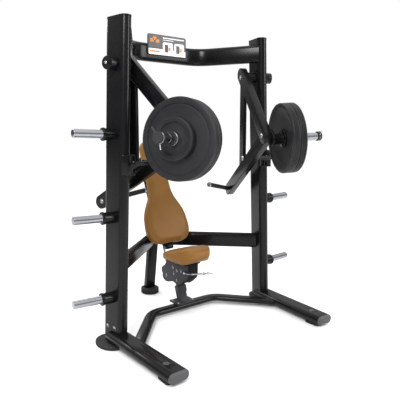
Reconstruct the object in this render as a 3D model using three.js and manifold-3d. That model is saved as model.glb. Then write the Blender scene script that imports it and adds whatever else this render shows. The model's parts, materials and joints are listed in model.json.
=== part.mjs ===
// A plate-loaded chest press machine. Millimetres, +Z up, the user sits facing -Y.
// X = 0 is the mirror plane. Each side is built once, on +X, and mirrored by its group.
import * as THREE from 'three';
import { mergeVertices } from 'three/addons/utils/BufferGeometryUtils.js';
import Module from 'manifold-3d';

const wasm = await Module();
wasm.setup();

// Driving dimensions
const GAP = 0.4;                    // clearance between pieces that touch
const FRONT = -655;                 // front end of the base rails
const FOOT = { y: 635, length: 150, width: 140, height: 42 };
const UPRIGHT = { foot: 627, lean: 79, height: 1948, depth: 175, width: 70, toe: 13, cap: 10 };
const PAD_HEIGHT = 16;              // rubber under the base rails and the uprights
const RAIL = { width: 130, height: 60, x: 632, slope: 0.0635, rear: 10, cap: 16, plug: [-532, 20] };
const LOWER_BAR = { y: 154, z: 40, half: 274, depth: 76, height: 42, fillet: 60, end: [600, -222] };
const TOP_BAR = { y: 372, z: 1840, half: 282, depth: 50, height: 124, fillet: 105, end: [525, -50] };
const BEAM = { z: 467, height: 113, depth: 50 };
const POST = { width: 84, depth: 50, floorY: 649.6, slope: -0.161, top: 900 };
const PIVOT = { x: 562, z: 1680, toe: 21.2, radius: 38, outer: 94, inner: -88 };
const SHAFT = { radius: 14, end: 88 };
const ARM = { inner: -137, outer: -91, lever: 92, grip: 90, top: [-18, 1702], bend: [415, 1262],
  end: [-251, 849], tail: [-262, 842] };
const LINK = { rear: -32, front: 43 };
const REST = { ahead: 142, height: 1112, radius: 14, end: 60 };
const GRIP = { radius: 16.5, cap: 19, capLength: 12, end: [269.6, 204.6, 905.5] };
const HORN = { at: [453.6, -441.6, 1257], toe: 25, tilt: 3.5, radius: 25, tip: 195, clip: [166, 190, 31] };
const PLATE = { radius: 225, thick: 44, bore: 25.8, recess: 3, bowl: 24 };
const SMALL_PLATE = { radius: 116, thick: 46 };
const COLLAR = { radius: 38, thick: 24 };
const STORAGE = { heights: [298, 791, 1281], radius: 25, collar: 35, flange: 39, length: 173, tip: 897,
  tilt: 1.8 };
const STOP = { bottom: 1045, top: 1165, back: 62, front: 126, half: 31, slot: [16, 1070] };
const BACK = { bottom: 483, lean: 22, thick: 66, half: 190, neck: 102, length: 812, faceY: 334, faceZ: 600 };
const BOARD = { thick: 16, half: 88, start: 110, length: 600 };
const SLIDE = { lean: 18.5, y: 154, z: 56, width: 60, depth: 40, length: 300 };
const SEAT = { rear: 252, front: -76, half: 140, noseHalf: 106, top: 372, bottom: 386, panHalf: 70 };
const HOUSING = { half: 45, wall: 8 };
const GUIDE = { y: 362, z: 262, radius: 9, bottom: 195, top: 548, bracket: [508, 540] };
const LEVER = { x: -56, y: 60, z: 316, radius: 6, handle: 9 };
const PLACARD = { half: 160, bottom: 1822, top: 1961, thick: 10 };

const shiftY = -(FRONT + FOOT.y + FOOT.length / 2) / 2;
const rad = THREE.MathUtils.degToRad;

// Materials
function finish(color, roughness, metalness) {
  return new THREE.MeshStandardMaterial({ color, roughness, metalness });
}

const blackPaint = finish(0x101012, 0.35, 0.2);
const greyPaint = finish(0x3a3a3d, 0.45, 0.2);
const rubber = finish(0x0c0c0d, 0.8, 0);
const plastic = finish(0x3d3d3f, 0.5, 0);
const chrome = finish(0xc8c8cc, 0.15, 1);
const castIron = finish(0x141517, 0.55, 0.3);
const vinyl = finish(0x8f5f2b, 0.5, 0);
const boardPlastic = finish(0x151517, 0.6, 0);
const signPlastic = finish(0x2e2e30, 0.4, 0);

// Shapes
function stadium(length, width, steps = 7) {
  const straight = length / 2 - width / 2;
  const shape = new THREE.Shape();
  shape.absarc(straight, 0, width / 2, -Math.PI / 2, Math.PI / 2);
  shape.absarc(-straight, 0, width / 2, Math.PI / 2, Math.PI * 1.5);
  return new THREE.Shape(shape.getPoints(steps));
}

function roundedBox(width, height, radius, steps = 2) {
  const x = width / 2 - radius;
  const y = height / 2 - radius;
  const shape = new THREE.Shape();
  shape.absarc(x, y, radius, 0, Math.PI / 2);
  shape.absarc(-x, y, radius, Math.PI / 2, Math.PI);
  shape.absarc(-x, -y, radius, Math.PI, Math.PI * 1.5);
  shape.absarc(x, -y, radius, Math.PI * 1.5, Math.PI * 2);
  return new THREE.Shape(shape.getPoints(steps));
}

function ellipse(length, width) {
  const shape = new THREE.Shape();
  shape.absellipse(0, 0, length / 2, width / 2, 0, Math.PI * 2);
  return new THREE.Shape(shape.getPoints(16).slice(0, -1));
}

// Solids. A prism stands on z = 0, and its bevel stays inside the outline and the depth.
function prism(shape, depth, bevel = 0, curveSegments = 12) {
  const options = { depth: depth - 2 * bevel, bevelEnabled: bevel > 0, bevelThickness: bevel,
    bevelSize: bevel, bevelOffset: -bevel, bevelSegments: 1, curveSegments, steps: 1 };
  return toSolid(new THREE.ExtrudeGeometry(shape, options)).translate([0, 0, bevel]);
}

function sweep(shape, path, steps) {
  return toSolid(new THREE.ExtrudeGeometry(shape, { steps, bevelEnabled: false, extrudePath: path }));
}

function rod(radius, length, segments = 28) {
  const geometry = new THREE.CylinderGeometry(radius, radius, length, segments);
  geometry.rotateX(Math.PI / 2);
  geometry.translate(0, 0, length / 2);
  return toSolid(geometry);
}

// A body turned about +Z from a closed outline of [radius, height] points.
function turned(points, segments = 48) {
  const outline = points.map(([radius, height]) => new THREE.Vector2(radius, height));
  const geometry = new THREE.LatheGeometry(outline, segments);
  geometry.rotateX(Math.PI / 2);
  return toSolid(geometry);
}

function box(min, max) {
  const size = max.map((value, axis) => value - min[axis]);
  const geometry = new THREE.BoxGeometry(...size);
  geometry.translate(...max.map((value, axis) => (value + min[axis]) / 2));
  return toSolid(geometry);
}

function toSolid(geometry) {
  const bare = geometry.clone();
  bare.deleteAttribute('normal');
  bare.deleteAttribute('uv');
  const merged = mergeVertices(bare, 1e-3);
  const corners = merged.index.array;
  const triangles = [];
  for (let i = 0; i < corners.length; i += 3) {
    const [a, b, c] = corners.slice(i, i + 3);
    if (a !== b && b !== c && c !== a) triangles.push(a, b, c);
  }
  const vertProperties = merged.attributes.position.array;
  const triVerts = new Uint32Array(triangles);
  return new wasm.Manifold(new wasm.Mesh({ numProp: 3, vertProperties, triVerts }));
}

function toGeometry(solid) {
  const { vertProperties, triVerts } = solid.getMesh();
  const geometry = new THREE.BufferGeometry();
  geometry.setAttribute('position', new THREE.BufferAttribute(vertProperties, 3));
  geometry.setIndex(new THREE.BufferAttribute(triVerts, 1));
  geometry.computeVertexNormals();
  return geometry;
}

function add(group, name, material, solid) {
  const mesh = new THREE.Mesh(toGeometry(solid), material);
  mesh.name = name;
  group.add(mesh);
}

const moved = (solid, matrix) => solid.transform(matrix.elements);

// A frame with its origin at a point and its z axis along a direction.
function facing(origin, direction, roll = 0) {
  const z = new THREE.Vector3(...direction).normalize();
  const turn = new THREE.Quaternion().setFromUnitVectors(new THREE.Vector3(0, 0, 1), z);
  const matrix = new THREE.Matrix4().makeRotationFromQuaternion(turn);
  matrix.multiply(new THREE.Matrix4().makeRotationZ(rad(roll)));
  return matrix.setPosition(...origin);
}

// A stretch of rod from one point to another.
function strut(from, to, radius, segments = 20) {
  const along = new THREE.Vector3(...to).sub(new THREE.Vector3(...from));
  return moved(rod(radius, along.length(), segments), facing(from, along.toArray()));
}

// A path through corners, each rounded by a curve that starts one fillet length before it.
function bentPath(corners, fillet) {
  const path = new THREE.CurvePath();
  let from = corners[0];
  for (let i = 1; i < corners.length - 1; i += 1) {
    const before = corners[i].clone().lerp(corners[i - 1], fillet / corners[i].distanceTo(corners[i - 1]));
    const after = corners[i].clone().lerp(corners[i + 1], fillet / corners[i].distanceTo(corners[i + 1]));
    path.add(new THREE.LineCurve3(from, before));
    path.add(new THREE.QuadraticBezierCurve3(before, corners[i], after));
    from = after;
  }
  path.add(new THREE.LineCurve3(from, corners[corners.length - 1]));
  return path;
}

// A bar bowed in plan, the same to the left and right, of height x depth section.
function bowedBar({ y, z, half, height, depth, fillet, end }) {
  const corners = [[-end[0], end[1]], [-half, y], [half, y], end];
  const path = bentPath(corners.map(([x, across]) => new THREE.Vector3(x, across, z)), fillet);
  const tall = height > depth;
  const section = tall ? stadium(height, depth, 4) : stadium(depth, height, 4);
  const outline = section.getPoints().map((p) => (tall ? p : new THREE.Vector2(-p.y, p.x)));
  return sweep(new THREE.Shape(outline), path, 36);
}

// Upright: a leaning flat-oval column, its front edge turned toward the middle.
const leanPerMm = UPRIGHT.lean / UPRIGHT.height;
const uprightX = (z) => UPRIGHT.foot - z * leanPerMm;

function column(bottom, top, grow, bevel = 0) {
  const section = stadium(UPRIGHT.depth + 2 * grow, UPRIGHT.width + 2 * grow, 8);
  const turn = new THREE.Matrix4().makeRotationZ(rad(90 - UPRIGHT.toe));
  const lean = new THREE.Matrix4().set(1, 0, -leanPerMm, UPRIGHT.foot, 0, 1, 0, 0, 0, 0, 1, 0, 0, 0, 0, 1);
  const straight = moved(prism(section, top - bottom, bevel), turn).translate([0, 0, bottom]);
  return moved(straight, lean);
}

// The arm's own frame: x forward, y outward along the pivot axis, z up from the floor.
function armFrame() {
  const matrix = new THREE.Matrix4().makeRotationZ(-rad(90 + PIVOT.toe));
  return matrix.setPosition(PIVOT.x, 0, 0);
}

const toArm = (point) => new THREE.Vector3(...point).applyMatrix4(armFrame().invert());

// A flat link between two points of the arm's side view, with round ends.
function armLink(from, to, width, inner, outer, bevel = 3) {
  const along = new THREE.Vector2(to[0] - from[0], to[1] - from[1]);
  const section = stadium(along.length() + width, width, 9);
  const middle = [(from[0] + to[0]) / 2, 0, (from[1] + to[1]) / 2];
  const upright = new THREE.Matrix4().makeRotationX(Math.PI / 2);
  const turn = new THREE.Matrix4().makeRotationY(-along.angle());
  const flat = prism(section, outer - inner, bevel).translate([0, 0, -outer]);
  return moved(flat, new THREE.Matrix4().makeTranslation(...middle).multiply(turn).multiply(upright));
}

// Upright with the bore that its pivot housing passes through.
const pivotRod = (radius, inner, outer) => moved(
  rod(radius, outer - inner, 36),
  facing([PIVOT.x + inner * Math.cos(rad(PIVOT.toe)), -inner * Math.sin(rad(PIVOT.toe)), PIVOT.z],
    [Math.cos(rad(PIVOT.toe)), -Math.sin(rad(PIVOT.toe)), 0]),
);

const uprightClear = column(PAD_HEIGHT, UPRIGHT.height, GAP);

function buildUpright(group, suffix) {
  const bore = pivotRod(PIVOT.radius + GAP, PIVOT.inner - 20, PIVOT.outer + 20);
  const post = column(PAD_HEIGHT, UPRIGHT.height - UPRIGHT.cap - GAP, 0).subtract(bore);
  add(group, `upright_${suffix}`, blackPaint, post);
  const cap = column(UPRIGHT.height - UPRIGHT.cap, UPRIGHT.height, 2, 2.5);
  add(group, `upright_cap_${suffix}`, blackPaint, cap);
  const pad = prism(ellipse(190, 240), PAD_HEIGHT - GAP, 3).translate([UPRIGHT.foot + 28, 0, 0]);
  add(group, `base_foot_${suffix}`, rubber, pad);
}

// Base rail: a flat-oval tube on the floor. The upright stands in the fork at its rear end.
const railX = (y) => RAIL.x + RAIL.slope * y;

function railLength(front, rear, bevel = 0) {
  const section = stadium(RAIL.width, RAIL.height, 6);
  const upright = new THREE.Matrix4().makeRotationX(Math.PI / 2);
  const turn = new THREE.Matrix4().makeRotationZ(-Math.atan(RAIL.slope));
  const place = new THREE.Matrix4().makeTranslation(railX(rear), rear, PAD_HEIGHT + RAIL.height / 2);
  return moved(prism(section, rear - front, bevel), place.multiply(turn).multiply(upright));
}

function buildRail(group, suffix) {
  const capStart = FRONT + RAIL.cap;
  const [plugY, plugRadius] = RAIL.plug;
  const plugHole = rod(plugRadius, 10).translate([railX(plugY), plugY, PAD_HEIGHT + RAIL.height - 3]);
  const tube = railLength(FRONT, RAIL.rear).subtract(box([400, FRONT - 20, 0], [800, capStart, 200]));
  add(group, `base_rail_${suffix}`, blackPaint, tube.subtract(uprightClear).subtract(plugHole));
  const end = railLength(FRONT - 4, FRONT + 60, 12)
    .intersect(box([400, FRONT, 0], [800, capStart - GAP, 200]));
  add(group, `rail_cap_${suffix}`, plastic, end);
  const foot = prism(roundedBox(104, 104, 18), PAD_HEIGHT - GAP, 2).translate([railX(-566), -566, 0]);
  add(group, `rail_foot_${suffix}`, rubber, foot);
}

// Rear beam: a straight tube from the upright to the rear post.
function buildRearBeam(group, suffix) {
  const apexY = POST.floorY + POST.slope * BEAM.z;
  const start = new THREE.Vector3(uprightX(BEAM.z), 0, BEAM.z);
  const end = new THREE.Vector3(0, apexY, BEAM.z);
  const tube = sweep(stadium(BEAM.height, BEAM.depth, 6), new THREE.LineCurve3(start, end), 1);
  const beam = tube.subtract(uprightClear).intersect(box([POST.width / 2 + GAP, 0, 0], [900, 900, 900]));
  add(group, `rear_beam_${suffix}`, blackPaint, beam);
}

// Pivot housing: a bearing tube through the upright, closed by its cap at the outer end.
function buildPivotHousing(group, suffix) {
  const shell = pivotRod(PIVOT.radius, PIVOT.inner, PIVOT.outer);
  const bore = pivotRod(SHAFT.radius + 1, PIVOT.inner - 1, SHAFT.end - 2);
  const boss = pivotRod(10, PIVOT.outer - 1, PIVOT.outer + 8);
  add(group, `pivot_housing_${suffix}`, blackPaint, shell.subtract(bore).add(boss));
}

// Stop bracket: a block against the upright's round front edge, with a slot in its face.
function buildStop(group, suffix) {
  const height = STOP.top - STOP.bottom;
  const block = prism(roundedBox(STOP.front - STOP.back, 2 * STOP.half, 8), height, 3)
    .translate([-(STOP.front + STOP.back) / 2, 0, STOP.bottom]);
  const slot = moved(prism(stadium(30, 13), 40), new THREE.Matrix4().makeRotationY(-Math.PI / 2))
    .translate([20 - STOP.front, ...STOP.slot]);
  const place = new THREE.Matrix4().makeTranslation(uprightX((STOP.bottom + STOP.top) / 2), 0, 0)
    .multiply(new THREE.Matrix4().makeRotationZ(rad(90 - UPRIGHT.toe)));
  const clasp = moved(block.subtract(slot), place);
  const clear = column(STOP.bottom - 20, STOP.top + 20, GAP);
  add(group, `stop_bracket_${suffix}`, blackPaint, clasp.subtract(clear));
}

// Storage horns: a collar on the upright's outer side with a plate sleeve in it.
function buildStorageHorns(group, suffix) {
  STORAGE.heights.forEach((height, index) => {
    const end = STORAGE.tip - index * 20;
    const start = uprightX(height);
    const tilt = [Math.cos(rad(STORAGE.tilt)), 0, Math.sin(rad(STORAGE.tilt))];
    const sleeveLength = end - start;
    const collarLength = sleeveLength - STORAGE.length;
    const sleeve = turned([[0, 0], [STORAGE.radius, 0], [STORAGE.radius, sleeveLength - 3],
      [STORAGE.radius - 3, sleeveLength], [0, sleeveLength]], 24);
    const collar = turned([[0, 0], [STORAGE.collar, 0], [STORAGE.collar, collarLength - 15],
      [STORAGE.flange, collarLength - 14], [STORAGE.flange, collarLength - 3],
      [STORAGE.flange - 3, collarLength], [0, collarLength]], 28);
    const horn = moved(sleeve.add(collar), facing([start, -11, height - 2], tilt));
    add(group, `storage_horn_${suffix}_${index + 1}`, chrome, horn.subtract(uprightClear));
  });
}

// Arm: everything that swings on the pivot, in the arm's own frame.
function buildArm(side, suffix) {
  const group = new THREE.Group();
  group.applyMatrix4(armFrame());
  const { inner, outer, top, bend, end, tail } = ARM;
  const outward = new THREE.Matrix4().makeRotationX(-Math.PI / 2);
  const lever = armLink(top, bend, ARM.lever, inner, outer);
  const leverClear = armLink(top, bend, ARM.lever + 2 * GAP, inner - 1, outer + 1, 0);
  const shaft = moved(rod(SHAFT.radius, SHAFT.end - 8 - outer + 2), outward).translate([0, outer - 2, PIVOT.z]);
  add(group, `lever_${suffix}`, blackPaint, lever.add(shaft));

  const rest = moved(rod(REST.radius, REST.end - outer + 5, 20), outward)
    .translate([REST.ahead, outer - 5, REST.height]);
  const handleArm = armLink(bend, tail, ARM.grip, inner, outer).add(rest).subtract(leverClear);
  const across = new THREE.Vector2(bend[0] - end[0], bend[1] - end[1]);
  const middle = (LINK.rear + LINK.front) / 2;
  const meetZ = end[1] + (middle - end[0]) * across.y / across.x;
  const slab = armLink([middle, PIVOT.z], [middle, meetZ], LINK.front - LINK.rear, inner + 10, outer - 10);
  const handleClear = armLink(bend, tail, ARM.grip + 2 * GAP, inner - 1, outer + 1, 0);
  add(group, `link_plate_${suffix}`, blackPaint, slab.subtract(leverClear).subtract(handleClear));
  add(group, `handle_arm_${suffix}`, blackPaint, handleArm);

  const gripStart = [end[0], inner - GAP, end[1]];
  const gripEnd = toArm(GRIP.end).toArray();
  const gripAxis = new THREE.Vector3(...gripEnd).sub(new THREE.Vector3(...gripStart)).normalize();
  const capStart = new THREE.Vector3(...gripEnd).addScaledVector(gripAxis, -GRIP.capLength);
  const buried = new THREE.Vector3(...gripStart).addScaledVector(gripAxis, -20);
  const armFace = box([-600, inner - GAP, 600], [600, inner + 60, 1200]);
  const gripEndFree = capStart.clone().addScaledVector(gripAxis, -GAP);
  const grip = strut(buried.toArray(), gripEndFree.toArray(), GRIP.radius, 24).subtract(armFace);
  add(group, `grip_${suffix}`, rubber, grip);
  const capShape = turned([[0, 0], [GRIP.cap, 0], [GRIP.cap, GRIP.capLength - 3],
    [GRIP.cap - 3, GRIP.capLength], [0, GRIP.capLength]], 24);
  add(group, `grip_cap_${suffix}`, chrome, moved(capShape, facing(capStart.toArray(), gripAxis.toArray())));
  side.add(group);
}

// Plate horn: hub, sleeve, weight plates and spring collar, along the horn's own z axis.
function buildHorn(side, suffix) {
  const group = new THREE.Group();
  const axis = [Math.cos(rad(HORN.toe)) * Math.cos(rad(HORN.tilt)),
    -Math.sin(rad(HORN.toe)) * Math.cos(rad(HORN.tilt)), Math.sin(rad(HORN.tilt))];
  const place = facing(HORN.at, axis);
  group.applyMatrix4(place);
  const backFace = -2 * PLATE.thick - GAP;
  const stopFace = backFace + 22;

  const toHorn = place.clone().invert().multiply(armFrame());
  const armSide = moved(box([0, -400, 900], [900, ARM.outer + GAP, 1600]), toHorn);
  const knuckle = moved(armLink([ARM.bend[0] - 14, ARM.bend[1] + 10], [ARM.bend[0] + 28, ARM.bend[1] - 16],
    ARM.lever - 8, ARM.outer + GAP, ARM.outer + 18, 2), toHorn);
  const hub = turned([[0, -190], [34, -190], [34, stopFace - 12], [59, stopFace - 10], [59, stopFace],
    [0, stopFace]], 36).subtract(armSide).add(knuckle);
  add(group, `horn_hub_${suffix}`, blackPaint, hub);

  const [clipStart, clipEnd, clipRadius] = HORN.clip;
  const sleeve = turned([[0, stopFace + GAP], [HORN.radius, stopFace + GAP], [HORN.radius, clipStart],
    [clipRadius, clipStart], [clipRadius, clipEnd], [HORN.radius, clipEnd], [HORN.radius, HORN.tip - 3],
    [HORN.radius - 3, HORN.tip], [0, HORN.tip]], 32);
  add(group, `horn_${suffix}`, chrome, sleeve);

  const { radius, thick, bore, recess, bowl } = PLATE;
  const bigPlate = (face) => turned([
    [bore, face - thick + bowl], [radius * 0.45, face - thick + bowl],
    [radius * 0.68, face - thick + bowl * 0.85],
    [radius * 0.82, face - thick + bowl * 0.4], [radius * 0.89, face - thick], [radius - 5, face - thick],
    [radius, face - thick + 6], [radius, face - 6], [radius - 5, face], [radius * 0.85, face],
    [radius * 0.84, face - recess - 2], [radius * 0.81, face - recess - 2], [radius * 0.8, face - recess],
    [radius * 0.3, face - recess], [radius * 0.29, face - 1], [bore, face - 1],
    [bore, face - thick + bowl]], 40);
  add(group, `plate_inner_${suffix}`, castIron, bigPlate(-thick - GAP));
  add(group, `plate_outer_${suffix}`, castIron, bigPlate(0));

  const small = SMALL_PLATE;
  const face = small.thick;
  const smallPlate = turned([[bore, GAP], [small.radius - 4, GAP], [small.radius, GAP + 4],
    [small.radius, face - 5], [small.radius - 4, face], [90, face], [84, face - 9], [50, face - 9],
    [46, face - 3], [bore, face - 3], [bore, GAP]], 36);
  add(group, `plate_small_${suffix}`, castIron, smallPlate);
  const ring = turned([[bore, face + GAP], [COLLAR.radius - 2, face + GAP], [COLLAR.radius, face + GAP + 2],
    [COLLAR.radius, face + COLLAR.thick - 2], [COLLAR.radius - 2, face + COLLAR.thick],
    [bore, face + COLLAR.thick], [bore, face + GAP]], 24);
  const tab = box([COLLAR.radius - 4, -7, face + 4], [COLLAR.radius + 30, 7, face + 14]);
  const turn = new THREE.Matrix4().makeRotationZ(rad(200));
  add(group, `spring_collar_${suffix}`, rubber, ring.add(moved(tab, turn)));
  side.add(group);
}

function buildSide(suffix) {
  const side = new THREE.Group();
  buildUpright(side, suffix);
  buildRail(side, suffix);
  buildRearBeam(side, suffix);
  buildPivotHousing(side, suffix);
  buildStop(side, suffix);
  buildStorageHorns(side, suffix);
  buildArm(side, suffix);
  buildHorn(side, suffix);
  return side;
}

const mirrored = (solid) => solid.mirror([1, 0, 0]);
const cutByBoth = (solid, cutter) => solid.subtract(cutter).subtract(mirrored(cutter));

// Crossbars that hold the two sides together.
function buildCrossbars(group) {
  const rail = railLength(-500, RAIL.rear);
  const railClear = rail.add(rail.translate([-GAP, 0, 0]));
  add(group, 'lower_crossbar', blackPaint, cutByBoth(bowedBar(LOWER_BAR), railClear));
  add(group, 'top_crossbar', blackPaint, cutByBoth(bowedBar(TOP_BAR), uprightClear));
}

// Placard: a sheet with round corners, fixed to the front of the top crossbar.
function buildPlacard(group) {
  const height = PLACARD.top - PLACARD.bottom;
  const sheet = prism(roundedBox(2 * PLACARD.half, height, 14), PLACARD.thick, 1.5);
  const upright = new THREE.Matrix4().makeRotationX(Math.PI / 2);
  const front = TOP_BAR.y - TOP_BAR.depth / 2 - GAP;
  const placard = moved(sheet, upright).translate([0, front, PLACARD.bottom + height / 2]);
  add(group, 'placard', signPlastic, placard);
}

// The back pad's frame: x across, y up along the lean, z toward the user.
const padLean = Math.tan(rad(BACK.lean));
const padY = (z) => BACK.faceY + (z - BACK.faceZ) * padLean;

function padFrame() {
  const matrix = new THREE.Matrix4().makeRotationX(rad(90 - BACK.lean));
  return matrix.setPosition(0, padY(BACK.bottom), BACK.bottom);
}

function padOutline({ half, neck, length }) {
  const shape = new THREE.Shape();
  shape.moveTo(half - 112, 0);
  shape.quadraticCurveTo(half - 6, 4, half, 112);
  shape.lineTo(half - 2, 160);
  shape.bezierCurveTo(half - 8, 300, neck + 4, 330, neck, 430);
  shape.lineTo(neck - 6, length - 90);
  shape.quadraticCurveTo(neck - 14, length - 2, neck - 60, length);
  shape.lineTo(60 - neck, length);
  shape.quadraticCurveTo(14 - neck, length - 2, 6 - neck, length - 90);
  shape.lineTo(-neck, 430);
  shape.bezierCurveTo(-neck - 4, 330, 8 - half, 300, 2 - half, 160);
  shape.lineTo(-half, 112);
  shape.quadraticCurveTo(6 - half, 4, 112 - half, 0);
  return new THREE.Shape(shape.getPoints(8).slice(0, -1));
}

// Bracket on the rear post that holds the guide rod's top, with a strap and a round hub.
function guideBracket() {
  const [low, high] = GUIDE.bracket;
  const arm = sidePlate(polygon([[400, low], [560, low], [560, high], [400, high]]), -14, 14);
  const strap = sidePlate(polygon([[405, high], [345, 455], [345, 433], [356, 433], [425, low]]), -22, 22);
  const hub = strut([-30, 346, 441], [30, 346, 441], 19);
  return arm.add(strap).add(hub).subtract(strut(guideEnds[0], guideEnds[1], GUIDE.radius + GAP));
}

// Rear post, its foot, and the back pad that it carries.
function buildBackrest(group) {
  const pad = prism(padOutline(BACK), BACK.thick, 12).translate([0, 0, -BACK.thick]);
  add(group, 'back_pad', vinyl, moved(pad, padFrame()));
  const boardBack = -BACK.thick - GAP - BOARD.thick;
  const board = prism(roundedBox(2 * BOARD.half, BOARD.length, 40), BOARD.thick, 2)
    .translate([0, BOARD.start + BOARD.length / 2, boardBack]);
  const flat = moved(box([-300, -200, boardBack - GAP], [300, 1000, 400]), padFrame());
  add(group, 'back_board', boardPlastic, moved(board, padFrame()));

  const lean = new THREE.Matrix4().set(1, 0, 0, 0, 0, 1, POST.slope, POST.floorY, 0, 0, 1, 0, 0, 0, 0, 1);
  const bottom = FOOT.height + GAP;
  const straight = prism(roundedBox(POST.width, POST.depth, 12), POST.top - bottom)
    .translate([0, 0, bottom]);
  add(group, 'rear_post', blackPaint, moved(straight, lean).subtract(flat).add(guideBracket()));
  const foot = prism(ellipse(FOOT.width, FOOT.length), FOOT.height, 4).translate([0, FOOT.y, 0]);
  add(group, 'rear_foot', rubber, foot);
}

// The seat slides along its post: z up the slide, y across it.
const slideTurn = new THREE.Matrix4().makeRotationX(-rad(SLIDE.lean));
const slideFrame = slideTurn.clone().setPosition(0, SLIDE.y, SLIDE.z);
const guideY = (z) => GUIDE.y + (z - GUIDE.z) * Math.tan(rad(SLIDE.lean));

// A plate whose outline is a side view of [y, z] points, from one x to another.
function sidePlate(shape, fromX, toX, bevel = 0) {
  const across = new THREE.Matrix4().set(0, 0, 1, fromX, 1, 0, 0, 0, 0, 1, 0, 0, 0, 0, 0, 1);
  return moved(prism(shape, toX - fromX, bevel, 6), across);
}

const polygon = (points) => new THREE.Shape(points.map(([x, y]) => new THREE.Vector2(x, y)));

// Seat post: a mast with a sleeve block and a stay, on a bracket across the lower crossbar.
function buildSeatPost(group) {
  const mast = prism(roundedBox(SLIDE.width, SLIDE.depth, 8), SLIDE.length);
  const sleeve = prism(roundedBox(SLIDE.width + 10, SLIDE.depth + 10, 9), 50, 2).translate([0, 0, 82]);
  const stay = prism(roundedBox(26, 16, 5), 150).translate([0, 58, -20]);
  const web = box([-8, 15, 22], [8, 56, 60]);
  const upper = moved(mast.add(sleeve).add(stay).add(web), slideFrame);
  const barTop = LOWER_BAR.z + LOWER_BAR.height / 2 + GAP;
  const base = box([-75, LOWER_BAR.y - 38, barTop], [75, LOWER_BAR.y + 74, barTop + 12]);
  const above = box([-200, -100, barTop], [200, 600, 600]);
  add(group, 'seat_post', greyPaint, upper.add(base).intersect(above));
}

// Guide rod behind the seat.
const guideEnds = [GUIDE.bottom, GUIDE.top].map((z) => [0, guideY(z), z]);

function buildGuideRod(group) {
  add(group, 'guide_rod', chrome, strut(guideEnds[0], guideEnds[1], GUIDE.radius));
}

// Seat housing: two side plates with round lobes, a bridge above the mast and a rear sleeve.
function buildSeatHousing(group) {
  const { half, wall } = HOUSING;
  const top = SEAT.top - GAP;
  const outline = new THREE.Shape();
  outline.moveTo(38, top);
  outline.lineTo(40, 300);
  outline.bezierCurveTo(42, 275, 56, 262, 77, 250);
  outline.quadraticCurveTo(104, 236, 122, 214);
  outline.quadraticCurveTo(160, 190, 228, 208);
  outline.lineTo(296, 188);
  outline.bezierCurveTo(352, 174, 386, 216, 368, 236);
  outline.bezierCurveTo(402, 262, 368, 302, 346, 302);
  outline.lineTo(286, top);
  const shape = new THREE.Shape(outline.getPoints(8));
  const left = sidePlate(shape, half - wall, half, 1.5);
  const right = sidePlate(shape, -half, wall - half, 1.5);
  const bridge = box([wall / 2 - half, 60, top - 10], [half - wall / 2, 262, top - 1]);
  const rear = box([wall / 2 - half, 338, 240], [half - wall / 2, 378, 276]);
  const bore = strut([0, guideY(100), 100], [0, guideY(500), 500], GUIDE.radius + 1.5);
  add(group, 'seat_housing', greyPaint, left.add(right).add(bridge).add(rear).subtract(bore));
}

// Seat cover: the dark quarter-round nose between the side plates.
function buildSeatCover(group) {
  const { half, wall } = HOUSING;
  const outline = new THREE.Shape();
  outline.moveTo(33, SEAT.top - GAP);
  outline.lineTo(33, 335);
  outline.bezierCurveTo(34, 290, 56, 250, 102, 226);
  outline.lineTo(114, 240);
  outline.lineTo(114, 358);
  outline.lineTo(58, 358);
  outline.lineTo(58, SEAT.top - GAP);
  const inner = half - wall - GAP;
  add(group, 'seat_cover', plastic, sidePlate(new THREE.Shape(outline.getPoints(8)), -inner, inner, 1));
}

// Seat cushion and the pan under it. The nose rises and curls down at the front.
function buildSeat(group) {
  const { rear, front, half, noseHalf, bottom } = SEAT;
  const profile = new THREE.Shape();
  profile.moveTo(rear - 14, bottom);
  profile.quadraticCurveTo(rear + 4, 408, rear - 8, 436);
  profile.bezierCurveTo(205, 462, 130, 462, 70, 484);
  profile.bezierCurveTo(20, 510, front + 6, 528, front, 464);
  profile.quadraticCurveTo(front + 1, 440, front + 16, 434);
  profile.quadraticCurveTo(-36, 428, -12, 404);
  profile.quadraticCurveTo(6, bottom, 40, bottom);
  const body = sidePlate(new THREE.Shape(profile.getPoints(8)), -half, half);
  const plan = new THREE.Shape();
  plan.moveTo(0, front);
  plan.bezierCurveTo(noseHalf, front, noseHalf + 4, -10, noseHalf + 18, 60);
  plan.quadraticCurveTo(half, 110, half, 170);
  plan.lineTo(half, rear - 46);
  plan.quadraticCurveTo(half, rear, half - 48, rear);
  plan.lineTo(48 - half, rear);
  plan.quadraticCurveTo(-half, rear, -half, rear - 46);
  plan.lineTo(-half, 170);
  plan.quadraticCurveTo(-half, 110, -noseHalf - 18, 60);
  plan.bezierCurveTo(-noseHalf - 4, -10, -noseHalf, front, 0, front);
  const lying = new THREE.Matrix4().makeRotationX(Math.PI / 2);
  const across = moved(prism(roundedBox(2 * half, 160, 36, 4), 500), lying).translate([0, 400, bottom + 80]);
  const cushion = body.intersect(prism(new THREE.Shape(plan.getPoints(8)), 600)).intersect(across);
  add(group, 'seat_cushion', vinyl, cushion);
  const pan = prism(roundedBox(2 * SEAT.panHalf, 196, 20), bottom - SEAT.top - GAP, 1);
  add(group, 'seat_pan', boardPlastic, pan.translate([0, 134, SEAT.top]));
}

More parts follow.
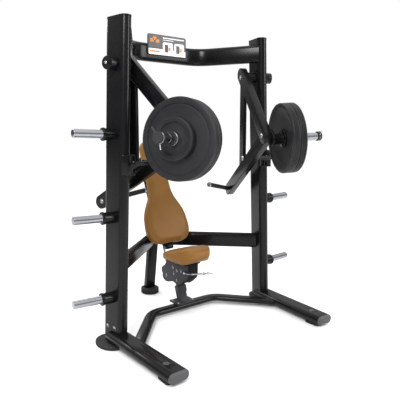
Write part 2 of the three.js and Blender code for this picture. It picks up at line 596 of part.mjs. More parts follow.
// Release lever: a bent chrome rod from the side plate round the cover, with a ball on it.
function buildSeatLever(group) {
  const { x, y, z, radius, handle } = LEVER;
  const pivot = strut([-HOUSING.half - GAP, y, z], [x - 8, y, z], 9);
  const corners = [[x, y, z], [x, 10, z + 4], [-46, -18, z + 10], [30, -48, z + 7], [104, -50, z]];
  const path = bentPath(corners.map((corner) => new THREE.Vector3(...corner)), 14);
  const section = ellipse(2 * radius, 2 * radius).getPoints().filter((point, index) => index % 3 === 0);
  const bar = sweep(new THREE.Shape(section), path, 20);
  const ball = toSolid(new THREE.SphereGeometry(handle + 1.5, 12, 8)).translate(corners[3]);
  const end = strut([62, -48.8, z + 4.3], corners[4], handle, 16);
  add(group, 'seat_lever', chrome, bar.add(pivot).add(ball).add(end));
}

function buildMiddle() {
  const middle = new THREE.Group();
  buildCrossbars(middle);
  buildPlacard(middle);
  buildBackrest(middle);
  buildSeatPost(middle);
  buildGuideRod(middle);
  buildSeatHousing(middle);
  buildSeatCover(middle);
  buildSeat(middle);
  buildSeatLever(middle);
  return middle;
}

const left = buildSide('l');
const right = buildSide('r');
right.scale.x = -1;
const machine = new THREE.Group();
machine.position.y = shiftY;
machine.add(left, right, buildMiddle());

export default machine;
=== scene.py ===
import json
import math

import bmesh
import bpy
from mathutils import Matrix, Vector

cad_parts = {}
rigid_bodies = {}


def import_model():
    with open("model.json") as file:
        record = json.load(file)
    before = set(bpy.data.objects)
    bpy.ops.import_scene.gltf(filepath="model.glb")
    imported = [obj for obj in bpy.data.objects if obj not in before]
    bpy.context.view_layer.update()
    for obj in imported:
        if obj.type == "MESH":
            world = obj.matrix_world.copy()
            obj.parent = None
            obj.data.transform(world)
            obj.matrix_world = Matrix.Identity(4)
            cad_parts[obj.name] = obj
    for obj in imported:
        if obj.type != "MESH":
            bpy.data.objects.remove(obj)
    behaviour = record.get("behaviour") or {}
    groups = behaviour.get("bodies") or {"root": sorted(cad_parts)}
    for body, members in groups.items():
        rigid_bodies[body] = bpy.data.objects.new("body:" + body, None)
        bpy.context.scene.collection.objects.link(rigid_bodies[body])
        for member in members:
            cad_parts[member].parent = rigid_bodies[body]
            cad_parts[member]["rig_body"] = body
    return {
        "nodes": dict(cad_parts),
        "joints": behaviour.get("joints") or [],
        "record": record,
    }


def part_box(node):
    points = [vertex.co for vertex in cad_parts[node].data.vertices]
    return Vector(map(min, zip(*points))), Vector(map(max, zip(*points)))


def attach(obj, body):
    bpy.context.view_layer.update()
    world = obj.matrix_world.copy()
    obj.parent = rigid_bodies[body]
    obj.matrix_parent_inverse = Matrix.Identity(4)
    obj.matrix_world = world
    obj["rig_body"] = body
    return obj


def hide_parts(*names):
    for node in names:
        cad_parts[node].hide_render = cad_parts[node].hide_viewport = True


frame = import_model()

MM = 0.001
CLOTH_FRAMES = 14
UP = Vector((0, 0, 1))
SIDES = {"l": 1, "r": -1}
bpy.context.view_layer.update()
joints = {joint["name"]: joint for joint in frame["joints"]}
scene = bpy.context.scene


# Camera, at the photograph's viewing angle

def add_camera(place, heading, pitch, field):
    data = bpy.data.cameras.new("camera")
    data.angle = math.radians(field)
    camera = bpy.data.objects.new("camera", data)
    scene.collection.objects.link(camera)
    camera.location = place
    camera.rotation_euler = (math.radians(90 - pitch), 0, math.radians(-heading))
    scene.camera = camera


add_camera(place=(-1.815, -2.4621, 1.2995), heading=37.19, pitch=8.664, field=47.77)


# Studio: a pale floor, a soft sky and three large lamps

def add_lamp(name, place, target, size, power):
    data = bpy.data.lights.new(name, "AREA")
    data.shape = "RECTANGLE"
    data.size, data.size_y = size
    data.energy = power
    lamp = bpy.data.objects.new(name, data)
    scene.collection.objects.link(lamp)
    lamp.location = place
    lamp.rotation_euler = (Vector(place) - Vector(target)).to_track_quat("Z", "Y").to_euler()


def add_sky(low, high, seen):
    """Dim at the horizon and bright overhead, and plain white where it is seen directly."""
    world = bpy.data.worlds.new("studio")
    world.use_nodes = True
    nodes, links = world.node_tree.nodes, world.node_tree.links
    nodes.clear()
    place = nodes.new("ShaderNodeTexCoord")
    split = nodes.new("ShaderNodeSeparateXYZ")
    links.new(place.outputs["Generated"], split.inputs[0])
    level = nodes.new("ShaderNodeMapRange")
    level.inputs["From Min"].default_value = 0.05
    level.inputs["From Max"].default_value = 0.75
    level.inputs["To Min"].default_value = low
    level.inputs["To Max"].default_value = high
    links.new(split.outputs["Z"], level.inputs["Value"])
    dim = nodes.new("ShaderNodeBackground")
    dim.inputs["Color"].default_value = (1, 1, 1, 1)
    links.new(level.outputs[0], dim.inputs["Strength"])
    bright = nodes.new("ShaderNodeBackground")
    bright.inputs["Color"].default_value = (1, 1, 1, 1)
    bright.inputs["Strength"].default_value = seen
    path = nodes.new("ShaderNodeLightPath")
    mix = nodes.new("ShaderNodeMixShader")
    output = nodes.new("ShaderNodeOutputWorld")
    links.new(path.outputs["Is Camera Ray"], mix.inputs[0])
    links.new(dim.outputs[0], mix.inputs[1])
    links.new(bright.outputs[0], mix.inputs[2])
    links.new(mix.outputs[0], output.inputs[0])
    scene.world = world


def add_floor():
    bm = bmesh.new()
    bmesh.ops.create_grid(bm, x_segments=1, y_segments=1, size=30)
    floor = new_object("floor", bm)
    floor.data.materials.append(surface("floor_paint", (0.90, 0.90, 0.90), 0.7, speckle=0.01, bump=0.02))


# Materials. Each one is procedural: colour drift, fine grain, wear on edges and settled dust.

def surface(name, color, roughness, metallic=0.0, specular=0.5, speckle=0.1, grain=600, bump=0.1,
            distance=0.0004, wear=0.0, wear_color=(0.4, 0.4, 0.42), dust=0.0):
    material = bpy.data.materials.new(name)
    material.use_nodes = True
    nodes, links = material.node_tree.nodes, material.node_tree.links
    shader = nodes["Principled BSDF"]
    shader.inputs["Metallic"].default_value = metallic
    shader.inputs["Specular IOR Level"].default_value = specular
    place = nodes.new("ShaderNodeTexCoord").outputs["Object"]

    drift = noise_node(nodes, links, place, scale=6, detail=4)
    fine = noise_node(nodes, links, place, scale=grain, detail=3)
    dark = tuple(channel * (1 - speckle) for channel in color)
    light = tuple(min(1, channel * (1 + speckle)) for channel in color)
    base = ramp_mix(nodes, links, drift, dark, light)
    if dust:
        facing = nodes.new("ShaderNodeNewGeometry")
        split = nodes.new("ShaderNodeSeparateXYZ")
        links.new(facing.outputs["Normal"], split.inputs[0])
        amount = math_node(nodes, links, "MULTIPLY", split.outputs["Z"], drift)
        amount = math_node(nodes, links, "MULTIPLY", amount, value=dust)
        base = color_mix(nodes, links, amount, base, (0.45, 0.44, 0.42))
    if wear:
        edge = nodes.new("ShaderNodeNewGeometry")
        sharp = nodes.new("ShaderNodeMapRange")
        sharp.inputs["From Min"].default_value = 0.56
        sharp.inputs["From Max"].default_value = 0.70
        sharp.inputs["To Max"].default_value = wear
        links.new(edge.outputs["Pointiness"], sharp.inputs["Value"])
        patch = math_node(nodes, links, "MULTIPLY", sharp.outputs[0], fine)
        base = color_mix(nodes, links, patch, base, wear_color)
    links.new(base, shader.inputs["Base Color"])

    rough = nodes.new("ShaderNodeMapRange")
    rough.inputs["To Min"].default_value = max(0.02, roughness * 0.82)
    rough.inputs["To Max"].default_value = min(1, roughness * 1.2)
    links.new(drift, rough.inputs["Value"])
    links.new(rough.outputs[0], shader.inputs["Roughness"])

    relief = nodes.new("ShaderNodeBump")
    relief.inputs["Strength"].default_value = bump
    relief.inputs["Distance"].default_value = distance
    links.new(fine, relief.inputs["Height"])
    links.new(relief.outputs[0], shader.inputs["Normal"])
    return material


def noise_node(nodes, links, place, scale, detail):
    texture = nodes.new("ShaderNodeTexNoise")
    texture.inputs["Scale"].default_value = scale
    texture.inputs["Detail"].default_value = detail
    links.new(place, texture.inputs["Vector"])
    return texture.outputs["Fac"]


def ramp_mix(nodes, links, factor, dark, light):
    ramp = nodes.new("ShaderNodeValToRGB")
    ramp.color_ramp.elements[0].position = 0.35
    ramp.color_ramp.elements[0].color = (*dark, 1)
    ramp.color_ramp.elements[1].position = 0.65
    ramp.color_ramp.elements[1].color = (*light, 1)
    links.new(factor, ramp.inputs[0])
    return ramp.outputs[0]


def color_mix(nodes, links, factor, base, color):
    mix = nodes.new("ShaderNodeMix")
    mix.data_type = "RGBA"
    links.new(factor, mix.inputs[0])
    links.new(base, mix.inputs[6])
    mix.inputs[7].default_value = (*color, 1)
    return mix.outputs[2]


def math_node(nodes, links, operation, first, second=None, value=1.0):
    node = nodes.new("ShaderNodeMath")
    node.operation = operation
    node.use_clamp = True
    links.new(first, node.inputs[0])
    if second is None:
        node.inputs[1].default_value = value
    else:
        links.new(second, node.inputs[1])
    return node.outputs[0]


def leather_grain(material, scale, depth):
    """Adds pebbled vinyl grain: cells between fine creases."""
    nodes, links = material.node_tree.nodes, material.node_tree.links
    place = next(node for node in nodes if node.type == "TEX_COORD").outputs["Object"]
    cells = nodes.new("ShaderNodeTexVoronoi")
    cells.feature = "DISTANCE_TO_EDGE"
    cells.inputs["Scale"].default_value = scale
    links.new(place, cells.inputs["Vector"])
    crease = nodes.new("ShaderNodeBump")
    crease.inputs["Strength"].default_value = depth
    crease.inputs["Distance"].default_value = 0.0005
    links.new(cells.outputs["Distance"], crease.inputs["Height"])
    relief = next(node for node in nodes if node.type == "BUMP" and node != crease)
    links.new(crease.outputs[0], relief.inputs["Normal"])
    return material


MATERIALS = {
    "black_paint": surface(
        "black_paint", (0.0042, 0.0042, 0.0047), 0.22, specular=0.17, speckle=0.15, grain=900, bump=0.05,
        wear=0.3, wear_color=(0.05, 0.05, 0.055), dust=0.01),
    "grey_paint": surface(
        "grey_paint", (0.022, 0.022, 0.024), 0.42, specular=0.16, speckle=0.15, grain=900, bump=0.08,
        wear=0.4, wear_color=(0.12, 0.12, 0.13), dust=0.02),
    "foot_rubber": surface(
        "foot_rubber", (0.014, 0.014, 0.015), 0.75, specular=0.18, speckle=0.3, grain=500, bump=0.3,
        dust=0.05),
    "grip_rubber": surface(
        "grip_rubber", (0.016, 0.016, 0.017), 0.6, specular=0.2, speckle=0.2, grain=700, bump=0.35),
    "chrome": surface(
        "chrome", (0.30, 0.31, 0.33), 0.2, metallic=1.0, speckle=0.06, grain=300, bump=0.02, wear=0.3,
        wear_color=(0.18, 0.18, 0.19)),
    "plate_iron": surface(
        "plate_iron", (0.0115, 0.0118, 0.0128), 0.46, specular=0.2, speckle=0.25, grain=420, bump=0.3,
        distance=0.0006, wear=0.6, wear_color=(0.07, 0.07, 0.075), dust=0.02),
    "collar_plastic": surface(
        "collar_plastic", (0.020, 0.020, 0.021), 0.5, specular=0.25, speckle=0.15, bump=0.1),
    "cap_plastic": surface(
        "cap_plastic", (0.055, 0.056, 0.060), 0.5, specular=0.3, speckle=0.1, grain=800, bump=0.2,
        dust=0.03),
    "cover_plastic": surface(
        "cover_plastic", (0.005, 0.005, 0.006), 0.55, specular=0.12, speckle=0.2, grain=800, bump=0.25,
        dust=0.02),
    "placard_plastic": surface(
        "placard_plastic", (0.035, 0.035, 0.037), 0.35, specular=0.3, speckle=0.08, bump=0.03),
    "tan_vinyl": leather_grain(surface(
        "tan_vinyl", (0.205, 0.094, 0.0190), 0.45, specular=0.2, speckle=0.06, grain=260, bump=0.12),
        scale=420, depth=0.22),
}
STEEL = surface("zinc_steel", (0.52, 0.52, 0.54), 0.3, metallic=1.0, speckle=0.1, grain=500, bump=0.05)
INK = {
    "grey": surface("ink_grey", (0.060, 0.060, 0.063), 0.4, speckle=0.04, bump=0.02),
    "orange": surface("ink_orange", (0.50, 0.17, 0.02), 0.4, speckle=0.05, bump=0.02),
    "pale": surface("ink_pale", (0.75, 0.75, 0.75), 0.4, speckle=0.03, bump=0.02),
    "dark": surface("ink_dark", (0.03, 0.03, 0.032), 0.4, speckle=0.05, bump=0.02),
}


# Mesh helpers

def new_object(name, bm, smooth_angle=35):
    mesh = bpy.data.meshes.new(name)
    bm.to_mesh(mesh)
    bm.free()
    piece = bpy.data.objects.new(name, mesh)
    scene.collection.objects.link(piece)
    smooth(mesh, smooth_angle)
    return piece


def smooth(mesh, angle):
    """Shades smooth, apart from edges sharper than the angle."""
    mesh.shade_smooth()
    mesh.set_sharp_from_angle(angle=math.radians(angle))


def dress(piece, body, slot, material=None, replaces=()):
    piece.data.materials.clear()
    piece.data.materials.append(material or MATERIALS[slot])
    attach(piece, body)
    if replaces:
        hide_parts(*replaces)
    return piece


def body_of(node):
    return frame["nodes"][node]["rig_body"]


def slot_of(node):
    return next(part["material_slot"] for part in frame["record"]["subparts"] if part["node"] == node)


def welded_copy(node):
    bm = bmesh.new()
    bm.from_mesh(frame["nodes"][node].data)
    bmesh.ops.remove_doubles(bm, verts=bm.verts, dist=0.00002)
    bmesh.ops.recalc_face_normals(bm, faces=bm.faces)
    return bm


def refine(node, bevel):
    """Welds a copy of a CAD solid, merges its flat faces and breaks its hard edges."""
    bm = welded_copy(node)
    bmesh.ops.dissolve_limit(bm, angle_limit=math.radians(0.6), verts=bm.verts, edges=bm.edges)
    piece = new_object(node + "_look", bm)
    if bevel:
        rounding = piece.modifiers.new("edges", "BEVEL")
        rounding.width = bevel
        rounding.segments = 2
        rounding.limit_method = "ANGLE"
        rounding.angle_limit = math.radians(40)
        rounding.use_clamp_overlap = True
        apply_modifiers(piece)
    smooth(piece.data, 32)
    return dress(piece, body_of(node), slot_of(node), replaces=[node])


def apply_modifiers(piece):
    depsgraph = bpy.context.evaluated_depsgraph_get()
    mesh = bpy.data.meshes.new_from_object(piece.evaluated_get(depsgraph), depsgraph=depsgraph)
    piece.modifiers.clear()
    piece.data = mesh


def pointing(place, axis):
    """A frame with its origin at a place and its z axis along a direction."""
    return Matrix.Translation(place) @ UP.rotation_difference(axis.normalized()).to_matrix().to_4x4()


def around(matrix, radius, turn, level):
    """A point at a radius and an angle about the z axis of a frame."""
    return matrix @ Vector((radius * math.cos(turn), radius * math.sin(turn), level))


def lathe(bm, profile, segments, matrix):
    """Spins an outline of (radius, height) about z. A point on the axis closes the end."""
    rings = []
    for radius, height in profile:
        if radius < 1e-7:
            rings.append([bm.verts.new(matrix @ Vector((0, 0, height)))])
            continue
        turns = [2 * math.pi * step / segments for step in range(segments)]
        rings.append([bm.verts.new(around(matrix, radius, turn, height)) for turn in turns])
    pairs = list(zip(rings, rings[1:]))
    if profile[0][0] > 1e-7:
        pairs.append((rings[-1], rings[0]))
    for low, high in pairs:
        for step in range(segments):
            after = (step + 1) % segments
            corners = [ring[turn % len(ring)] for ring, turn in
                       ((low, step), (low, after), (high, after), (high, step))]
            unique = list(dict.fromkeys(corners))
            if len(unique) > 2:
                bm.faces.new(unique)


def turned(name, profile, segments, matrix, angle=30):
    bm = bmesh.new()
    lathe(bm, profile, segments, matrix)
    bmesh.ops.recalc_face_normals(bm, faces=bm.faces)
    return new_object(name, bm, angle)


# Fasteners: button heads with a round socket, each on a thin washer

def bolt_profile(radius, height):
    dome = [(radius * math.cos(a), height * math.sin(a)) for a in (0, 0.35, 0.7, 1.05)]
    socket = radius * 0.42
    return [(0, -0.2 * height), (radius, -0.2 * height), *dome, (socket, height), (socket, height * 0.35),
            (0, height * 0.35)]


def bolts(name, body, places, radius, height, slot="chrome", material=None):
    """places is a list of (point on the surface, outward direction)."""
    bm = bmesh.new()
    for place, axis in places:
        lathe(bm, bolt_profile(radius, height), 18, pointing(place, axis))
        lathe(bm, [(0, -0.1 * height), (radius * 1.25, -0.1 * height), (radius * 1.25, 0.14 * height),
                   (0, 0.14 * height)], 20, pointing(place, axis))
    bmesh.ops.recalc_face_normals(bm, faces=bm.faces)
    return dress(new_object(name, bm), body, slot, material)


# Frame of a press arm: a point at (forward, outward, height) on one side, in metres

def arm_axes(side):
    sign = SIDES[side]
    joint = joints[f"arm_{side}"]
    outward = -Vector(joint["axis"]) * sign
    outward = outward if outward.x * sign > 0 else -outward
    forward = Vector((outward.y, -outward.x, 0)) * sign
    return Vector(joint["pos_m"]), outward, forward


def arm_point(side, ahead, out, height):
    pivot, outward, forward = arm_axes(side)
    flat = pivot + forward * ahead * MM + outward * out * MM
    return Vector((flat.x, flat.y, height * MM))


SEAT_SLIDE_Y = 0.154
CENTRE_Y = joints["seat_slide"]["pos_m"][1] - SEAT_SLIDE_Y
UPRIGHT_FOOT_X = 0.627
UPRIGHT_LEAN = 79 / 1948
UPRIGHT_TOE = math.radians(13)


def upright_frame(side, height):
    """The middle of an upright's section at a height, its outward direction and its forward one."""
    sign = SIDES[side]
    outward = Vector((sign * math.cos(UPRIGHT_TOE), -math.sin(UPRIGHT_TOE), 0))
    along = Vector((-sign * math.sin(UPRIGHT_TOE), -math.cos(UPRIGHT_TOE), 0))
    return Vector((sign * (UPRIGHT_FOOT_X - height * UPRIGHT_LEAN), CENTRE_Y, height)), outward, along


# Weight plates, horns and spring collars, on the axis of each plate slide

def horn_matrix(side):
    joint = joints[f"plates_{side}"]
    return pointing(Vector(joint["pos_m"]), Vector(joint["axis"]))


def big_plate(side, name, outer_face):
    r, bore, thick = 0.2250, 0.0258, 0.0436
    top, low = outer_face, outer_face - thick
    bowl = [(bore, low + 0.024), (0.100, low + 0.024), (0.128, low + 0.0228), (0.153, low + 0.0204),
            (0.170, low + 0.0150), (0.184, low + 0.0085), (0.194, low + 0.0028), (0.2005, low)]
    rim = [(r - 0.006, low), (r - 0.0018, low + 0.0018), (r, low + 0.006)]
    for groove in (0.013, 0.0218, 0.0306):
        rim += [(r, low + groove - 0.0012), (r - 0.0022, low + groove - 0.0006),
                (r - 0.0022, low + groove + 0.0006), (r, low + groove + 0.0012)]
    rim += [(r, top - 0.006), (r - 0.0018, top - 0.0018), (r - 0.006, top)]
    face = [(0.1925, top), (0.1912, top - 0.0008), (0.1895, top - 0.0042), (0.1835, top - 0.0042),
            (0.1818, top - 0.0034), (0.1800, top - 0.0030), (0.0700, top - 0.0030), (0.0665, top - 0.0022),
            (0.0640, top - 0.0010), (0.0480, top - 0.0010), (0.0455, top - 0.0018),
            (bore + 0.0015, top - 0.0010), (bore, top - 0.0025)]
    profile = bowl + rim + face
    piece = turned(f"{name}_{side}_look", profile, 128, horn_matrix(side), angle=28)
    dress(piece, f"plates_{side}", "plate_iron", replaces=[f"{name}_{side}"])


def small_plate(side):
    r, bore, low, top = 0.1160, 0.0258, 0.0004, 0.0460
    back = [(bore, low + 0.001), (0.028, low), (r - 0.005, low), (r - 0.0015, low + 0.0015),
            (r, low + 0.005)]
    rim = [(r, top - 0.005), (r - 0.0015, top - 0.0015), (r - 0.005, top), (0.0920, top),
           (0.0895, top - 0.001)]
    dish = [(0.0865, top - 0.0075), (0.0845, top - 0.0088), (0.0530, top - 0.0088), (0.0505, top - 0.0078)]
    hub = [(0.0480, top - 0.0036), (0.0460, top - 0.003), (0.0300, top - 0.003), (bore, top - 0.0045)]
    profile = back + rim + dish + hub
    piece = turned(f"plate_small_{side}_look", profile, 112, horn_matrix(side), angle=28)
    dress(piece, f"plates_{side}", "plate_iron", replaces=[f"plate_small_{side}"])


def spring_collar(side):
    matrix = horn_matrix(side)
    low, top, bore = 0.0466, 0.0698, 0.0258
    profile = [(bore, low), (0.0365, low), (0.038, low + 0.0015), (0.038, low + 0.004),
               (0.0335, low + 0.006), (0.0335, top - 0.006), (0.038, top - 0.004), (0.038, top - 0.0015),
               (0.0365, top), (bore, top)]
    body = turned(f"spring_collar_{side}_look", profile, 64, matrix, angle=30)
    dress(body, f"plates_{side}", "collar_plastic", replaces=[f"spring_collar_{side}"])
    turns, steps = 3, 28
    coil_radius, start, pitch = 0.0362, low + 0.0075, 0.0028
    coil = [around(matrix, coil_radius, 2 * math.pi * step / steps, start + pitch * step / steps)
            for step in range(turns * steps)]
    tube(f"collar_spring_{side}", coil, 0.0013, f"plates_{side}", "chrome", STEEL, sides=8)
    for end, turn in ((0, 3.30), (1, 3.62)):
        level = low + 0.008 + 0.008 * end
        foot = around(matrix, 0.034, turn, level)
        tip = around(matrix, 0.064, turn, level)
        tube(f"collar_handle_{side}_{end}", [foot, foot.lerp(tip, 0.5), tip], 0.0032, f"plates_{side}",
             "collar_plastic", sides=12)


def tube(name, points, radius, body, slot, material=None, sides=12):
    """A round wire through points, with closed ends."""
    bm = bmesh.new()
    rings = []
    for index, point in enumerate(points):
        ahead = points[min(index + 1, len(points) - 1)] - points[max(index - 1, 0)]
        turn = UP.rotation_difference(ahead.normalized()).to_matrix()
        spin = [2 * math.pi * step / sides for step in range(sides)]
        rings.append([bm.verts.new(point + turn @ Vector((radius * math.cos(a), radius * math.sin(a), 0)))
                      for a in spin])
    for low, high in zip(rings, rings[1:]):
        start = min(range(sides), key=lambda step: (high[step].co - low[0].co).length)
        for step in range(sides):
            bm.faces.new((low[step], low[(step + 1) % sides], high[(start + step + 1) % sides],
                          high[(start + step) % sides]))
    bm.faces.new(rings[0])
    bm.faces.new(rings[-1])
    bmesh.ops.recalc_face_normals(bm, faces=bm.faces)
    return dress(new_object(name, bm), body, slot, material)


def plate_horn(side):
    """A grooved chrome sleeve, and a dark cap on its tip with a half loop of wire, a wing and a pin."""
    matrix = horn_matrix(side)
    body = f"arm_{side}"
    radius, tip, start = 0.025, 0.195, -0.0658
    profile = [(0, start), (radius, start), (radius, 0.100), (radius - 0.0008, 0.1012),
               (radius - 0.0008, 0.1038), (radius, 0.105), (radius, tip - 0.0092),
               (radius - 0.0002, tip - 0.0062),
               (radius - 0.0012, tip - 0.0018), (radius - 0.0030, tip), (0.009, tip), (0.008, tip - 0.002),
               (0, tip - 0.002)]
    piece = turned(f"horn_{side}_look", profile, 64, matrix, angle=30)
    dress(piece, body, "chrome", replaces=[f"horn_{side}"])
    low, top, inner = 0.1665, 0.1895, radius + 0.0002
    ring = [(inner, low), (0.0300, low), (0.031, low + 0.001), (0.031, low + 0.004), (0.0288, low + 0.0055),
            (0.0288, top - 0.0055), (0.031, top - 0.004), (0.031, top - 0.001), (0.0300, top), (0.0262, top),
            (0.0262, tip - 0.002), (0.0245, tip + 0.0006), (0, tip + 0.0006), (0, tip + 0.0002),
            (0.0245, tip + 0.0002), (inner, tip - 0.002)]
    clip = turned(f"horn_clip_{side}", ring, 56, matrix, angle=30)
    dress(clip, body, "chrome", MATERIALS["collar_plastic"])
    middle = low + 0.0115
    wire = [around(matrix, 0.0298, math.radians(200 + 6 * step), middle) for step in range(26)]
    tube(f"horn_clip_wire_{side}", wire, 0.0012, body, "chrome", STEEL, sides=8)
    for name, turn, reach, thick, look in (("wing", 1.15, 0.068, 0.0055, MATERIALS["collar_plastic"]),
                                           ("pin", 3.75, 0.062, 0.0028, STEEL)):
        ends = [around(matrix, far, turn, middle) for far in (0.027, 0.045, reach)]
        tube(f"horn_clip_{name}_{side}", ends, thick, body, "chrome", look)


# Storage horns: chrome sleeves, each in a painted collar

def storage_horn(node):
    piece = refine(node, 0.0006)
    piece.data.materials.append(MATERIALS["black_paint"])
    low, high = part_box(node)
    middle_y = (low.y + high.y) / 2
    collar_inner = 0.0285
    for face in piece.data.polygons:
        axis_z = storage_axis_height(node, face.center.x)
        if math.hypot(face.center.y - middle_y, face.center.z - axis_z) > collar_inner or \
                abs(face.normal.x) > 0.6 and not_at_tip(node, face.center.x):
            face.material_index = 1


def storage_axis_height(node, x):
    """The sleeve tilts up outward. Its axis is found from the horn's box, to within 3 mm."""
    low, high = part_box(node)
    root = min(abs(low.x), abs(high.x))
    tilt = math.radians(1.8)
    flange_radius = 0.039
    start = low.z + flange_radius * math.cos(tilt)
    return start + (abs(x) - root) * math.tan(tilt)


def not_at_tip(node, x):
    low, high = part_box(node)
    return max(abs(low.x), abs(high.x)) - abs(x) > 0.03


# Placard: printed blocks on the front of the sheet, with no lettering

def placard():
    refine("placard", 0.0015)
    low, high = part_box("placard")
    front = low.y - 0.0003
    width, height = high.x - low.x, high.z - low.z

    def block(name, x0, z0, x1, z1, ink, lift=0.0, corner=0.004):
        bm = bmesh.new()
        corners = []
        for cx, cz, begin in ((x1 - corner, z1 - corner, 0), (x0 + corner, z1 - corner, 90),
                              (x0 + corner, z0 + corner, 180), (x1 - corner, z0 + corner, 270)):
            for step in range(5):
                a = math.radians(begin + 22.5 * step)
                corners.append((cx + corner * math.cos(a), cz + corner * math.sin(a)))
        face = bm.faces.new([bm.verts.new((x, front - lift, z)) for x, z in corners])
        solid = bmesh.ops.extrude_face_region(bm, geom=[face])
        moved = [item for item in solid["geom"] if isinstance(item, bmesh.types.BMVert)]
        bmesh.ops.translate(bm, verts=moved, vec=(0, 0.0008, 0))
        bmesh.ops.recalc_face_normals(bm, faces=bm.faces)
        dress(new_object(name, bm), "frame", "placard_plastic", INK[ink])

    def at(u, v):
        return low.x + width * u, low.z + height * v

    block("placard_header", *at(0.02, 0.34), *at(0.98, 0.97), "grey")
    block("placard_strip", *at(0.02, 0.03), *at(0.98, 0.31), "pale")
    for index, (u, v) in enumerate(((0.06, 0.62), (0.13, 0.72), (0.20, 0.60))):
        block(f"placard_emblem_{index}", *at(u, v), *at(u + 0.09, v + 0.16), "orange", lift=0.0004)
    block("placard_title", *at(0.38, 0.84), *at(0.94, 0.89), "pale", lift=0.0004, corner=0.001)
    block("placard_subtitle", *at(0.38, 0.75), *at(0.66, 0.78), "pale", lift=0.0004, corner=0.001)
    block("placard_note", *at(0.05, 0.14), *at(0.30, 0.22), "orange", lift=0.0004, corner=0.002)
    for index, u in enumerate((0.38, 0.68)):
        block(f"placard_picture_{index}", *at(u, 0.10), *at(u + 0.26, 0.66), "pale", lift=0.0004,
              corner=0.012)
        block(f"placard_figure_{index}", *at(u + 0.05, 0.18), *at(u + 0.14, 0.56), "dark", lift=0.0008)
        block(f"placard_mark_{index}", *at(u + 0.15, 0.26), *at(u + 0.20, 0.44), "orange", lift=0.0008,
              corner=0.002)


# Cushions: the CAD solid, shrunk a little, then blown up as cloth and cut back to its allowance

def cushion(node, name, shrink, swell, voxel=0.006):
    bm = welded_copy(node)
    bmesh.ops.dissolve_limit(bm, angle_limit=math.radians(0.6), verts=bm.verts, edges=bm.edges)
    bmesh.ops.triangulate(bm, faces=bm.faces)
    piece = new_object(name, bm)
    remesh = piece.modifiers.new("voxels", "REMESH")
    remesh.mode = "VOXEL"
    remesh.voxel_size = voxel
    apply_modifiers(piece)
    settle(piece, shrink)
    inflate(piece, swell)
    soften = piece.modifiers.new("soften", "SMOOTH")
    soften.iterations = 6
    soften.factor = 0.6
    finer = piece.modifiers.new("finer", "SUBSURF")
    finer.levels = finer.render_levels = 1
    apply_modifiers(piece)
    smooth(piece.data, 180)
    dress(piece, body_of(node), "tan_vinyl", replaces=[node])


def settle(piece, shrink):
    """Rounds the edges and draws the surface in by the shrink."""
    bm = bmesh.new()
    bm.from_mesh(piece.data)
    for _ in range(10):
        bmesh.ops.smooth_vert(bm, verts=bm.verts, factor=0.5, use_axis_x=True, use_axis_y=True,
                              use_axis_z=True)
    bm.normal_update()
    for vert in bm.verts:
        vert.co -= vert.normal * shrink
    bm.to_mesh(piece.data)
    bm.free()


def inflate(piece, swell):
    """Runs the cloth under pressure, and keeps each point within the swell of where it began."""
    start = [vert.co.copy() for vert in piece.data.vertices]
    cloth = piece.modifiers.new("air", "CLOTH")
    cloth.settings.quality = 5
    cloth.settings.mass = 0.4
    cloth.settings.tension_stiffness = 25
    cloth.settings.compression_stiffness = 25
    cloth.settings.use_pressure = True
    cloth.settings.uniform_pressure_force = 4
    cloth.settings.effector_weights.gravity = 0
    for number in range(1, CLOTH_FRAMES + 1):
        scene.frame_set(number)
    depsgraph = bpy.context.evaluated_depsgraph_get()
    mesh = bpy.data.meshes.new_from_object(piece.evaluated_get(depsgraph), depsgraph=depsgraph)
    piece.modifiers.clear()
    piece.data = mesh
    for vert, origin in zip(mesh.vertices, start):
        shift = vert.co - origin
        if shift.length > swell:
            vert.co = origin + shift * (swell / shift.length)
    scene.frame_set(1)


# Bolts and other small pieces

def arm_bolts(side):
    _, outward, _ = arm_axes(side)
    inner, outer = -137, -91
    body = f"arm_{side}"
    places = ((0, 1680), (395, 1271), (66, 1108), (-251, 849))
    bolts(f"arm_bolts_inner_{side}", body,
          [(arm_point(side, ahead, inner, height), -outward) for ahead, height in places], 0.015, 0.007)
    bolts(f"arm_bolts_outer_{side}", body, [(arm_point(side, -251, outer, 849), outward)], 0.012, 0.006)


def housing_bolt(side):
    _, outward, _ = arm_axes(side)
    bolts(f"pivot_bolt_{side}", "frame", [(arm_point(side, 0, 102, 1680), outward)], 0.0085, 0.005)


def fork_bolts(side):
    """Two bolts through the outer face of the upright, above the fork of the rail."""
    centre, outward, along = upright_frame(side, 0.105)
    places = [(centre + along * ahead + outward * 0.0345, outward) for ahead in (0.024, -0.040)]
    bolts(f"fork_bolts_{side}", "frame", places, 0.010, 0.006)


def stop_bolt(side):
    """The large bolt on the front of the stop bracket."""
    centre, outward, along = upright_frame(side, 1.105)
    centre.z = 1.112
    bolts(f"stop_bolt_{side}", "frame", [(centre + along * 0.126 - outward * 0.012, along)], 0.012, 0.006,
          material=STEEL)


def rail_plug(side):
    forward, rail_x, splay, level = 0.532, 0.632, 0.0635, 0.0735
    place = Vector((SIDES[side] * (rail_x - splay * forward), -forward + CENTRE_Y, level))
    profile = [(0, -0.002), (0.0188, -0.002), (0.0188, 0.0012), (0.0172, 0.0022), (0.0150, 0.0010),
               (0, 0.0004)]
    plug = turned(f"rail_plug_{side}", profile, 40, Matrix.Translation(place))
    dress(plug, "frame", "cap_plastic")


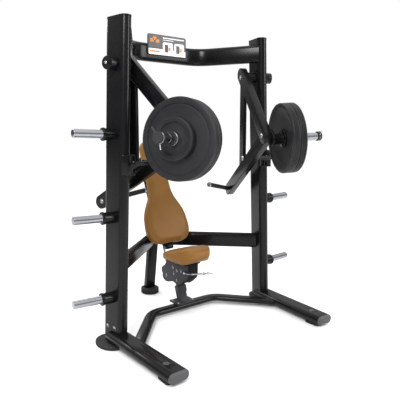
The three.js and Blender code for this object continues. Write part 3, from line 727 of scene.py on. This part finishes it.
def housing_side_bolts():
    places = [(0.227, 0.314), (0.175, 0.303), (0.126, 0.312), (0.215, 0.274), (0.313, 0.235), (0.179, 0.230)]
    for side, sign in SIDES.items():
        spots = [(Vector((sign * 0.045, y + CENTRE_Y, z)), Vector((sign, 0, 0))) for y, z in places]
        bolts(f"seat_bolts_{side}", "seat", spots, 0.0085, 0.006)


def base_bracket_bolts():
    low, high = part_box("seat_post")
    top = low.z + 0.012
    spots = [(Vector((x, y + CENTRE_Y, top)), UP) for x in (-0.060, 0.060) for y in (0.132, 0.206)]
    bolts("base_bracket_bolts", "frame", spots, 0.008, 0.006)


LATHED = ("plate_", "spring_collar", "horn_l", "horn_r", "storage_horn")
SOFT = ("back_pad", "seat_cushion")
BEVELS = {"upright_cap": 0.001, "upright": 0, "seat_lever": 0, "guide_rod": 0.001, "grip": 0.0012,
          "link_plate": 0.002}


def bevel_of(node):
    return next((size for start, size in BEVELS.items() if node.startswith(start)), 0.0022)


add_sky(low=0.12, high=1.5, seen=1.0)
add_floor()
add_lamp("key", place=(-3.5, -3.0, 3.8), target=(0, 0, 0.9), size=(1.6, 1.6), power=210)
add_lamp("fill", place=(3.2, -3.6, 2.6), target=(0, 0, 0.9), size=(1.4, 2.2), power=110)
add_lamp("back", place=(-1.0, 3.8, 3.4), target=(0, 0, 1.0), size=(3.0, 1.2), power=90)

for node in frame["nodes"]:
    if not node.startswith(LATHED) and node not in SOFT and node != "placard":
        refine(node, bevel_of(node))
    elif node.startswith("storage_horn"):
        storage_horn(node)

for side in SIDES:
    big_plate(side, "plate_outer", 0.0)
    big_plate(side, "plate_inner", -0.0444)
    small_plate(side)
    spring_collar(side)
    plate_horn(side)
    arm_bolts(side)
    housing_bolt(side)
    fork_bolts(side)
    stop_bolt(side)
    rail_plug(side)

placard()
housing_side_bolts()
base_bracket_bolts()
cushion("back_pad", "back_pad_look", shrink=0.003, swell=0.009)
cushion("seat_cushion", "seat_cushion_look", shrink=0.002, swell=0.008)

scene.view_settings.view_transform = "Standard"
